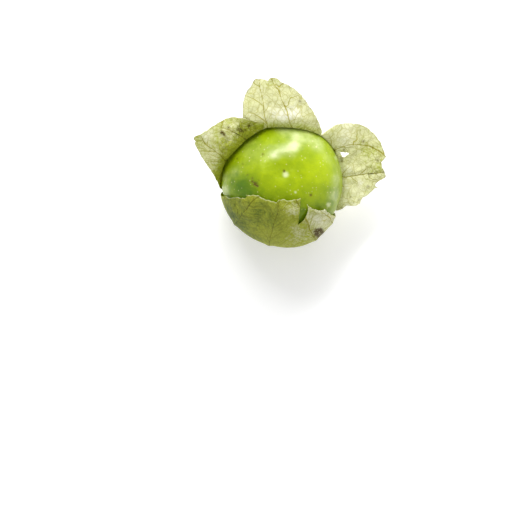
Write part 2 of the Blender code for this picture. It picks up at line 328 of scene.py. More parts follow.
@dataclass(frozen=True)
class WaxySkin:
    """Tomatillo skin, grown: thin, taut and slightly sticky with wax, so broad lights give it a soft gloss.

    Its IOR is under the 1.45 of wax, to match how faint the real one's reflections are.
    """

    lime: str = "#8CA103"
    yellow: str = "#9BAF00"
    deep: str = "#4B6D00"
    # the colour of the painted sheen, highlights and reflections
    pale: str = "#D2D8AA"
    fleck: str = "#DACB97"
    scar: str = "#584413"
    speck_pitch_mm: float = 1.5
    patch_mm: float = 13.0
    mottle_mm: float = 4.2
    orange_peel_mm: float = 2.2
    relief_mm: float = 0.6
    scab_grains_per_metre: float = 1800.0
    patch_swing: float = 0.14
    mottle_swing: float = 0.26
    streak_swing: float = 0.16
    roughness: float = 0.28
    ior: float = 1.29
    wax_coat: float = 0.04
    wax_roughness: float = 0.12
    flesh_glow: float = 0.08
    flesh_depth: tuple[float, float, float] = (0.004, 0.005, 0.001)

    def material(self) -> bpy.types.Material:
        """Green and yellow patches, streaks down from the blossom end, painted sheen and highlights, pale
        specks and scars.

        A point's ripeness is its own tone plus patches, mottle and streaks, and it goes from deep green
        through lime to yellow; its own tone also holds painted shade.

        Returns:
            The skin's material.
        """
        material, put = blank("tomatillo_skin_waxy")
        spot = put(Step.PLACE).outputs["Object"]
        flow = put(Step.CARRIED, attribute_name="skin_flow").outputs["Vector"]
        tone = put(Step.CARRIED, attribute_name="skin_tone").outputs["Vector"]
        own, sheen_and_specks, scarred = put(Step.SPLIT, tone).outputs
        patches = put(Step.NOISE, spot, 1 / (self.patch_mm * MM), 3.0, 0.5)
        mottle = put(Step.NOISE, spot, 1 / (self.mottle_mm * MM), 3.0, 0.55)
        streaks = put(Step.RAMP, put(Step.NOISE, flow, 1.3, 2.0, 0.5), 0.3, 0.7, -self.streak_swing,
                      self.streak_swing)
        below_tip = put(Step.RAMP, put(Step.SPLIT, flow).outputs[2], 0.7, 1.0, 1.0, 0.0)
        ripeness_and_shade = heap(put, own, put(Step.RAMP, patches, 0.3, 0.7, -self.patch_swing, self.patch_swing),
                    put(Step.RAMP, mottle, 0.35, 0.65, -self.mottle_swing, self.mottle_swing),
                    put(Step.TIMES, streaks, below_tip))
        # deep green where the ripeness is low, which the marks' painted shade also reaches
        colour = put(Step.OVER, self.deep, self.lime, put(Step.RAMP, ripeness_and_shade, -1.6, 0.3))
        colour = put(Step.OVER, colour, self.yellow, put(Step.RAMP, ripeness_and_shade, 0.05, 0.9))
        cells = put(Step.CELLS, spot, 1 / (self.speck_pitch_mm * MM))
        chosen = put(Step.CHANNELS, cells.outputs["Color"])
        dot = put(Step.TIMES, put(Step.RAMP, cells, 0.12, 0.25, 1.0, 0.0),
                  put(Step.RAMP, chosen, 0.45, 0.75))
        dot = put(Step.TIMES, dot, put(Step.RAMP, sheen_and_specks, 0.0, 0.8, 0.4, 1.0))
        colour = put(Step.OVER, colour, self.fleck, put(Step.TIMES, dot, 0.8))
        # painted sheen: paler where highlights and reflections are painted, broken up by the mottle
        painted_sheen = put(Step.TIMES, put(Step.RAMP, sheen_and_specks, 0.1, 1.2),
                    put(Step.RAMP, mottle, 0.35, 0.65, 0.35, 0.7))
        colour = put(Step.OVER, colour, self.pale, painted_sheen)
        grain = put(Step.NOISE, spot, self.scab_grains_per_metre, 2.0)
        hurt = put(Step.TIMES, scarred, put(Step.RAMP, grain, 0.3, 0.6, 0.5, 1.2), use_clamp=True)
        colour = put(Step.OVER, colour, self.scar, hurt)
        peel = put(Step.NOISE, spot, 1 / (self.orange_peel_mm * MM), 1.5)
        height = heap(put, put(Step.MINUS, put(Step.TIMES, patches, 1.2), hurt),
                      put(Step.TIMES, peel, 0.35), put(Step.TIMES, mottle, 0.7))
        relief = put(Step.RELIEF, height, 0.5, self.relief_mm * MM)
        dull = put(Step.PLUS, put(Step.TIMES, hurt, 0.4),
                   put(Step.RAMP, patches, 0.3, 0.7, self.roughness, self.roughness + 0.1))
        put(Step.DONE, put(Step.SURFACE, colour, dull, relief, inputs={
            "IOR": self.ior, "Coat Weight": self.wax_coat, "Coat Roughness": self.wax_roughness,
            "Subsurface Weight": self.flesh_glow, "Subsurface Radius": self.flesh_depth,
            "Subsurface Scale": 1.0}))
        return material


@dataclass(frozen=True)
class DriedHusk:
    """A calyx dried to paper on its ribs: matt, thin enough for light to come through, netted with veins.

    A real net's threads are about 0.05 mm wide, and they are drawn at 0.1 to 0.2 mm so that they show.
    """

    straw: str = "#E5E6BD"
    green: str = "#B7BF3A"
    deep: str = "#4C661C"
    # the colour of bleached paper, and of painted light on the husk
    bleach_and_light: str = "#FAFAF3"
    vein: str = "#CDC86E"
    rib: str = "#D1CB7C"
    dark_rib: str = "#3F3D13"
    blotch: str = "#5C4B06"
    net_mm: float = 1.9
    mesh_mm: float = 5.5
    branch_mm: float = 7.5
    streak_mm: float = 1.0
    speck_pitch_mm: float = 1.9
    cloud_mm: float = 9.0
    grain_mm: float = 1.1
    sway_mm: float = 6.0
    sway_reach_mm: float = 5.0
    relief_mm: float = 0.5
    rib_half_width_mm: float = 0.24
    cloud_swing: float = 0.24
    grain_swing: float = 0.22
    streak_swing: float = 0.14
    roughness: float = 0.55
    letting_through: float = 0.42

    def material(self) -> bpy.types.Material:
        """Straw to green paper, ribs with branches, two nets of veins, specks and blotches, with painted
        shade and painted light among the tones, blotches and bleaching.

        A point's greenness is its own tone plus clouds, grain and streaks, and it goes from straw through
        green to deep green; its own tone holds painted shade beside the folds and on the near left lobe.

        Returns:
            The husk's material.
        """
        material, put = blank("husk_dried_paper")
        spot = put(Step.PLACE).outputs["Object"]
        tone = put(Step.CARRIED, attribute_name="husk_tone").outputs["Vector"]
        own, stain_shade_and_light, dashed = put(Step.SPLIT, tone).outputs
        sway = put(Step.NOISE, spot, 1 / (self.sway_mm * MM), 2.0)
        centred = put(Step.SHIFT, sway.outputs["Color"], (0.5, 0.5, 0.5))
        swayed = put(Step.SWAY, centred, (self.sway_reach_mm * MM,) * 3, spot)
        net = put(Step.SEAMS, swayed, 1 / (self.net_mm * MM))
        mesh = put(Step.SEAMS, swayed, 1 / (self.mesh_mm * MM))
        rib, branch, streaks = self.ribs(put, sway)
        fine = put(Step.RAMP, net, 0.02, 0.11, 1.0, 0.0)
        coarse = put(Step.RAMP, mesh, 0.008, 0.034, 1.0, 0.0)
        cloud = put(Step.NOISE, spot, 1 / (self.cloud_mm * MM), 4.0, 0.6)
        grain = put(Step.NOISE, spot, 1 / (self.grain_mm * MM), 3.0, 0.7)
        greenness = heap(put, own, put(Step.RAMP, cloud, 0.3, 0.7, -self.cloud_swing, self.cloud_swing),
                         put(Step.RAMP, grain, 0.3, 0.7, -self.grain_swing, self.grain_swing),
                         put(Step.RAMP, streaks, 0.35, 0.65, -self.streak_swing, self.streak_swing))
        colour = put(Step.OVER, self.straw, self.green, put(Step.RAMP, greenness, 0.0, 1.0))
        # deep green, reached on the near left lobe, is partly painted shade
        colour = put(Step.OVER, colour, self.deep, put(Step.RAMP, greenness, 0.9, 2.3))
        pale = put(Step.RAMP, put(Step.MINUS, cloud, put(Step.TIMES, own, 0.4)), 0.42, 0.75, 0.0, 0.45)
        # below nothing, the second tone channel bleaches the paper and paints light: the far lobe's lit
        # foot, the left lobe's lit tip and the closed lobes' edge highlights
        pale = put(Step.LARGER, pale, put(Step.TIMES, stain_shade_and_light, -1.0), use_clamp=True)
        colour = put(Step.OVER, colour, self.bleach_and_light, pale)
        veins = put(Step.LARGER, put(Step.TIMES, fine, 0.4), put(Step.TIMES, coarse, 0.6))
        veins = put(Step.LARGER, veins, branch)
        colour = put(Step.STAIN, colour, self.vein, veins)
        colour = put(Step.STAIN, colour, self.rib, rib)
        dashes = put(Step.TIMES, put(Step.LARGER, rib, put(Step.TIMES, veins, 0.7)),
                     put(Step.RAMP, grain, 0.35, 0.6))
        dashes = put(Step.TIMES, dashes, dashed, use_clamp=True)
        colour = put(Step.OVER, colour, self.dark_rib, dashes)
        # blotches: stains, specks, and painted shade along the left lobe's bend
        blotches = put(Step.TIMES, stain_shade_and_light, put(Step.RAMP, grain, 0.35, 0.65, 0.35, 1.1), use_clamp=True)
        cells = put(Step.CELLS, spot, 1 / (self.speck_pitch_mm * MM))
        chosen = put(Step.CHANNELS, cells.outputs["Color"])
        speck = put(Step.TIMES, put(Step.RAMP, cells, 0.04, 0.11, 1.0, 0.0),
                    put(Step.RAMP, chosen, 0.6, 0.8))
        blotches = put(Step.LARGER, blotches, put(Step.TIMES, speck, 0.6))
        colour = put(Step.OVER, colour, self.blotch, blotches)
        height = heap(put, put(Step.TIMES, put(Step.LARGER, veins, rib), -0.2),
                      put(Step.TIMES, grain, 0.3), put(Step.TIMES, cloud, 0.6))
        relief = put(Step.RELIEF, height, 0.55, self.relief_mm * MM)
        paper = put(Step.SURFACE, colour, self.roughness, relief, inputs={"Specular IOR Level": 0.35})
        put(Step.DONE, put(Step.PARTLY, self.letting_through, paper, put(Step.GLOW, colour, relief)))
        return material

    def ribs(self, put: Put, sway: Source) -> tuple[Source, Source, Source]:
        """Lines on the ribs, branches that leave them at a slant, and streaks along the branches.

        The rib count is whole on a rib, so its distance from the nearest whole number, times the ribs'
        spacing, is the distance from a rib. Branches lie where the length along the husk less that distance
        is a multiple of their pitch, half a pitch later on the other side of the rib.

        Args:
            put: add with the node tree filled in.
            sway: Noise that bends the branches.

        Returns:
            The ribs', the branches' and the streaks' strength.
        """
        carried = put(Step.CARRIED, attribute_name="husk_rib").outputs["Vector"]
        count, spacing, length = put(Step.SPLIT, carried).outputs
        nearest = put(Step.NEAREST, count)
        signed = put(Step.PLUS, put(Step.TIMES, put(Step.MINUS, count, nearest), spacing),
                     put(Step.RAMP, sway, 0.3, 0.7, -0.3, 0.3))
        distance = put(Step.SIZE, signed)
        rib = put(Step.RAMP, distance, self.rib_half_width_mm * 0.4, self.rib_half_width_mm, 1.0, 0.0)
        slant = heap(put, put(Step.MINUS, length, put(Step.TIMES, distance, 1.2)),
                     put(Step.TIMES, put(Step.SIGN, signed), self.branch_mm / 4),
                     put(Step.TIMES, nearest, 2.9), put(Step.TIMES, sway, 6.5))
        nearness = put(Step.FOLD, slant, self.branch_mm / 2)
        branch = put(Step.TIMES, put(Step.RAMP, nearness, 0.1, 0.32, 1.0, 0.0),
                     put(Step.RAMP, distance, 2.0, 7.0, 1.0, 0.0))
        stretched = put(Step.JOIN, slant, put(Step.TIMES, signed, 0.2))
        return rib, branch, put(Step.NOISE, stretched, 1 / self.streak_mm, 1.5)


@dataclass(frozen=True)
class GreenBark:
    """A stem's young bark, dry where it was snapped: dull green with brown along its length."""

    green: str = "#8B9440"
    brown: str = "#7A6438"
    grains_per_metre: float = 2500.0
    relief_mm: float = 0.3
    roughness: float = 0.7

    def material(self) -> bpy.types.Material:
        """Green bark with brown grain, four times as long up the stem as it is wide.

        Returns:
            The stem's material.
        """
        material, put = blank("stem_green_bark")
        squeezed = put(Step.SQUEEZE, put(Step.PLACE).outputs["Object"], (1.0, 1.0, 0.25))
        grain = put(Step.NOISE, squeezed, self.grains_per_metre, 3.0)
        colour = put(Step.OVER, self.green, self.brown, put(Step.RAMP, grain, 0.4, 0.65))
        relief = put(Step.RELIEF, grain, 0.5, self.relief_mm * MM)
        put(Step.DONE, put(Step.SURFACE, colour, self.roughness, relief))
        return material


@dataclass(frozen=True)
class OpalAcrylic:
    """A photographer's light table of opal acrylic: white, matt, lit a little from below, not patterned."""

    white: str = "#F8F8F9"
    roughness: float = 0.9
    specular: float = 0.1
    glow: float = 0.15

    def material(self) -> bpy.types.Material:
        """The table's material, one white all over.

        Returns:
            The material.
        """
        material, put = blank("table_opal_acrylic")
        put(Step.DONE, put(Step.SURFACE, self.white, self.roughness, inputs={
            "Specular IOR Level": self.specular, "Emission Color": self.white,
            "Emission Strength": self.glow}))
        return material


# The object

@dataclass
class Fruit:
    """The fruit, in millimetres: a flattened ball, furrowed at the stem and dimpled at the blossom end.

    The marks are (x, y, width, strength) from its axis: riper or greener skin, partly painted shade;
    painted sheen and reflections, which also thicken the pale specks; and scars.
    """

    radius: float = 25.0
    half_height: float = 22.0
    fullness: float = 2.2
    hollow_depth: float = 4.2
    hollow_width: float = 5.5
    furrow_count: int = 5
    furrow_depth: float = 0.7
    furrow_latitude: float = -62.0
    furrow_spread: float = 22.0
    unevenness: float = 0.25
    scar: tuple[float, float] = (0.6, 3.5)
    dimple_depth: float = 0.7
    dimple_width: float = 4.5
    lowest: float = 0.95
    swell: tuple[float, float] = (0.1, 16.0)
    pimples: tuple[float, float] = (0.02, 5.0)
    marks_fade: float = 10.0
    underside_ripeness: float = 0.1
    columns: int = 360
    rows: int = 200
    finish: WaxySkin = field(default_factory=WaxySkin)
    ripe_and_shade_marks: Marks = (
        # the yellow side, the left cheek, the middle and the greener place below it
        (15.5, 3.5, 6.5, 0.9), (-10, 5, 8, 0.3), (3, -1, 6, 0.2), (6, -8.5, 5.5, -0.4),
        # the dark left flank, partly deep green skin and partly painted shade, and the ring round the scar
        # there
        (-17.5, 0, 7, -1), (-16.5, -9, 7.5, -0.9), (-9.5, -9, 5, -0.3), (-11, -1.6, 2, -0.5),
        # painted shade: the darker skin in the tear and along the near lobe
        (8, -16, 6, -0.7), (-6, -18, 9, -0.9),
        # the greener rim: painted shade under the far and left lobes, and greener skin on the right
        (0, 22, 4, -0.3), (-12, 16, 4, -0.4), (19.5, -9, 6, -0.5), (22.5, 4, 4, -0.3))
    sheen_and_speck_marks: Marks = (
        # painted reflection along the left rim, and on the cheek denser specks under painted sheen
        (-24.3, 1.5, 2, 0.9), (-23.4, -3.5, 1.8, 1), (-22.6, -7, 1.6, 0.9), (-19.4, 3.5, 3, 0.4),
        (-12, 12, 7, 0.4),
        # painted highlight: the pale patches of the key light's reflection
        (-3, 10.4, 2.3, 1), (0.4, 12.4, 2, 0.7), (4.6, 14.2, 2.6, 0.9), (3.5, 11, 3, 0.5),
        # painted sheen: the broad reflection over the far right shoulder
        (5.4, 18.5, 2.2, 0.5), (9.5, 18, 4, 0.7), (14.5, 14.4, 3.5, 0.6), (18.5, 9, 3, 0.4),
        (1, 21, 4.5, 0.6),
        # two small pale dots
        (18.7, -9.8, 0.8, 1.4), (5.2, -4.9, 0.6, 1.1),
        # painted reflection on the right rim, and a painted glint beside the blossom scar
        (22, -6, 4, 0.8), (22.6, 1, 3, 0.6), (23, 6, 2.5, 0.4), (1.2, 2.3, 1.3, 1.3))
    hurt_marks: Marks = (
        # the scab on the left cheek, the blossom scar and one on the right
        (-11, -1.5, 0.8, 1.3), (-10.2, -2.4, 0.5, 0.9), (-12.2, -0.6, 0.5, 0.8), (0.6, 3.6, 0.45, 1.2),
        (11.4, -6.1, 0.6, 0.9),
        # small scars
        (-8, 10.5, 0.5, 0.6), (-12.3, 0.8, 0.5, 0.5), (-13.6, -0.4, 0.35, 0.5), (-9.6, -0.2, 0.3, 0.5),
        (-14.2, 2.2, 0.35, 0.45), (-16, 6.5, 0.4, 0.4), (-9, 13.4, 0.35, 0.4), (-18.5, 9, 0.4, 0.5),
        (6.5, -7.8, 0.35, 0.4))

    def section(self, latitude: np.ndarray) -> tuple[np.ndarray, np.ndarray]:
        """The profile: a superellipse, with a bell curve that lifts the lower pole into the hollow.

        Args:
            latitude: Degrees up the fruit, from -90 at the stem to 90 at the blossom end.

        Returns:
            Distance from the axis, and height over the middle, in millimetres.
        """
        angle = np.radians(latitude)
        power = 2 / self.fullness
        radius = self.radius * np.cos(angle) ** power
        height = self.half_height * np.sign(angle) * np.abs(np.sin(angle)) ** power
        hollow = np.where(angle < 0, self.hollow_depth * np.exp(-(radius / self.hollow_width) ** 2), 0.0)
        return radius, height + hollow

    @property
    def middle(self) -> float:
        """Height of the fruit's middle, which puts its lowest ring at lowest."""
        return self.lowest - self.section(np.linspace(-89.9, 0, 900))[1].min()

    def latitude_at(self, radius: np.ndarray, reach: float) -> np.ndarray:
        """The upper latitude at which an even fruit of that reach has that radius."""
        return np.degrees(np.arccos(np.clip(radius / reach, 0, 1) ** (self.fullness / 2)))

    def build(self) -> bpy.types.Object:
        """The fine mesh: the profile turned round the axis, less furrows, uneven flanks and the dimple.

        A furrow is depth exp(-((latitude - its own) / spread)^2) cos(count angle / 2)^8, a flank's hollow is
        unevenness cos(latitude)^2 sin(angle + 0.6)^2, and the dimple is a bell curve round the scar.

        Returns:
            The piece, which stands for the CAD fruit.
        """
        latitude = np.linspace(-89.98, 89.98, self.rows + 1)[:, None]
        azimuth = np.linspace(0, 360, self.columns + 1)[None, :]
        angle = np.radians(azimuth)
        radius, height = self.section(latitude)
        deep = np.exp(-((latitude - self.furrow_latitude) / self.furrow_spread) ** 2)
        furrow = self.furrow_depth * deep * np.cos(self.furrow_count * angle / 2) ** 8
        flank = self.unevenness * np.cos(np.radians(latitude)) ** 2 * np.sin(angle + 0.6) ** 2
        points = place(azimuth, radius - furrow - flank, height + furrow * 0.5)
        away = np.hypot(points[..., 0] - self.scar[0], points[..., 1] - self.scar[1])
        dimple = self.dimple_depth * np.exp(-(away / self.dimple_width) ** 2)
        upper = np.clip(points[..., 2] / self.marks_fade, 0, 1)
        points[..., 2] -= dimple * upper
        points[..., 2] += upper * (self.swell[0] * ripple(points, self.swell[1], seed=5)
                                   + self.pimples[0] * ripple(points, self.pimples[1], seed=6))
        ripeness_and_shade = spots(points, self.ripe_and_shade_marks) * upper + (1 - upper) * self.underside_ripeness
        # painted sheen and reflections, which also thicken the pale specks
        pale = spots(points, self.sheen_and_speck_marks) * upper
        hurt = spots(points, self.hurt_marks) * upper
        points[..., 2] += self.middle
        flow = place(azimuth, np.full_like(latitude, 3.0), latitude / 70)  # squeezed along the fruit
        values = {"skin_tone": np.stack([ripeness_and_shade, pale, hurt], axis=-1), "skin_flow": flow}
        return turned_piece("fruit_skin", points, values, self.finish.material())


class Habit(Enum):
    """How a lobe of the husk lies."""

    FLARED = "flared"
    CLOSED = "closed"


@dataclass(frozen=True)
class Lobe:
    """One lobe of the husk.

    rim and fold are the azimuths of its sides at the cup's rim and where it stops following the fruit. A
    flared lobe's edge is (azimuth, reach), and it climbs by rise over run and by slope after that. A
    closed one's is (x, y) in plan, lift is how far it stands off the fruit, by the way across from 0 to 1,
    and bow is the degrees by which its first side is hollowed. nicks are (azimuth, half width, depth), less
    than nothing for a frayed end. green is the lobe's tone, on the near left lobe partly painted shade, and
    fold_shade the painted shade that its fold adds to it, painted light where it is less than nothing.
    rim_brown_and_highlight is how brown its edge is; less than nothing makes the edge paler, a painted
    highlight on the cut edge. rib_bend is the power of the way out by which its ribs shift.
    """

    habit: Habit
    columns: int
    free_rows: int
    rim: tuple[float, float]
    fold: tuple[float, float]
    fold_latitudes: Stations
    edge: Stations
    rise: Stations = ()
    run: Stations = ()
    corner: float = 2.0
    slope: float = 0.0
    cupping: float = 0.0
    nicks: Nicks = ()
    green: float = 0.3
    fold_shade: float = 0.6
    rim_brown_and_highlight: float = 0.5
    rib_bend: float = 1.0
    lift: Stations = ()
    bow: float = 0.0


LOBES = {
    # fold_shade is painted shade: deeper green beside each lobe's fold
    "far": Lobe(
        Habit.FLARED, columns=86, free_rows=46, rim=(50, 112), fold=(50, 110),
        rise=((50, 3), (80, 5), (123, 4)), run=((50, 2), (80, 2.6), (110, 2.6), (123, 4)), slope=0.1,
        cupping=0.6, fold_shade=0.45, green=-0.05, rib_bend=0.8,
        fold_latitudes=((50, 14), (58, 22), (66, 27), (79, 32), (110, 32)),
        edge=((50.6, 25.7), (55, 27.1), (61, 29), (66, 30.8), (71, 32.4), (74, 33.9), (79, 36), (82, 37.2),
            (86.5, 38.5), (91, 39.8), (94, 41.5), (97, 41.6), (100.5, 41.6), (103.5, 42.3), (106.3, 42),
            (107.6, 40.6), (110.4, 39.5), (112.8, 38.1), (116, 36), (119.5, 32.7), (122.5, 30)),
        nicks=((98.5, 1.2, 1.3), (103, 0.8, 0.5), (76.5, 0.8, 0.4), (64, 0.9, 0.35))),
    "left": Lobe(
        Habit.FLARED, columns=106, free_rows=46, rim=(112, 188), fold=(110, 184), corner=8.0, slope=-0.15,
        nicks=((156, 0.7, 0.8), (147, 0.8, 0.3)), green=0.5, fold_shade=0.4,
        fold_latitudes=((110, 32), (129, 35), (150, 31), (165, 21), (184, 4)),
        edge=((107.5, 24.3), (113, 25.2), (118.5, 27.2), (122, 29.2), (124.4, 30.4), (127, 31.8),
            (129.5, 32.9), (133.8, 34), (138.5, 34.9), (144, 36.1), (150.6, 38.1), (154.3, 39.9),
            (157.4, 38.5), (160, 36.6), (163.7, 34.2), (168, 31.5), (173.8, 28.6), (179.5, 26.8), (184, 26)),
        rise=((107, 8), (124, 8.5), (140, 8), (154, 7), (170, 4.5), (184, 2)),
        run=((107, 3.5), (118, 5), (130, 6.5), (138, 6), (144, 4.6), (152, 3.8), (160, 3.2), (184, 2.5))),
    # its dark green tone is partly painted shade, and its rim_brown_and_highlight below nothing a painted
    # highlight on the cut edge
    "near_left": Lobe(
        Habit.CLOSED, columns=140, free_rows=34, rim=(188, 289), fold=(194, 289),
        fold_latitudes=((194, 10), (235, 32), (289, 44)), green=1.2, rim_brown_and_highlight=-0.4,
        edge=((-22.9, -6.3), (-20.5, -7), (-18.8, -6.8), (-14.9, -7.1), (-13.9, -6.2), (-12.2, -5.9),
            (-10.3, -6.1), (-8.3, -7.2), (-5.1, -8.4), (-2.8, -9), (-1.6, -8.2), (0.4, -7.9), (2.7, -8.5),
            (4.9, -8.1), (7.2, -7.4)),
        lift=((0, 0.5), (0.5, 0.6), (0.68, 1.2), (0.88, 2), (1, 1.4))),
    # its rim_brown_and_highlight below nothing is a painted highlight on the cut edge
    "near_right": Lobe(
        Habit.CLOSED, columns=58, free_rows=34, rim=(289, 331), fold=(289, 327),
        fold_latitudes=((289, 44), (327, 2)), green=0.05, rim_brown_and_highlight=-0.2, bow=8.0,
        lift=((0, 1.2), (0.4, 0.8), (0.7, 0.9), (1, 1)),
        edge=((10, -9.9), (11, -10.9), (12.4, -11.6), (15, -12.1), (17, -11.6), (17.7, -12.3),
            (19.6, -13.6), (21.5, -14.2))),
    # its fold_shade below nothing is painted light beside the fold
    "right": Lobe(
        Habit.FLARED, columns=110, free_rows=60, rim=(-29, 50), fold=(-28, 50),
        rise=((-29, 4), (10, 3.2), (35, 2), (50, 1)), run=((-29, 3.5), (50, 3.5)), slope=-0.04,
        cupping=-1.0, nicks=((11, 0.8, 0.5), (-11, 0.8, 0.4), (-3.3, 0.5, -1.5)), green=0.12,
        fold_shade=-0.2, rib_bend=2.0,
        fold_latitudes=((-28, -13), (0, -11), (25, -4), (40, 6), (50, 14)),
        edge=((-27, 26.2), (-22, 28), (-19.5, 29.2), (-18.6, 31.2), (-17, 32.8), (-12.7, 33.6),
            (-9.4, 35.3), (-6.5, 37.1), (-4.1, 38.3), (-1, 39), (0.9, 40.4), (2.2, 42.6), (3.9, 43),
            (6.5, 42.3), (9.9, 41.9), (12.2, 42.8), (13.6, 44.4), (14.7, 44.1), (18, 44), (21.7, 43.8),
            (25.8, 43.2), (29.4, 42.3), (33, 41.2), (37, 39.2), (40.7, 36.7), (43.8, 34.2), (46.8, 31.4),
            (48.2, 28.7), (49.4, 26))),
}


def fray(along: np.ndarray, waves: Waves) -> np.ndarray:
    """A ragged line's depth: each wave (height, rate, phase) adds height sin(rate along + phase)."""
    return sum(height * np.sin(rate * along + phase) for height, rate, phase in waves)


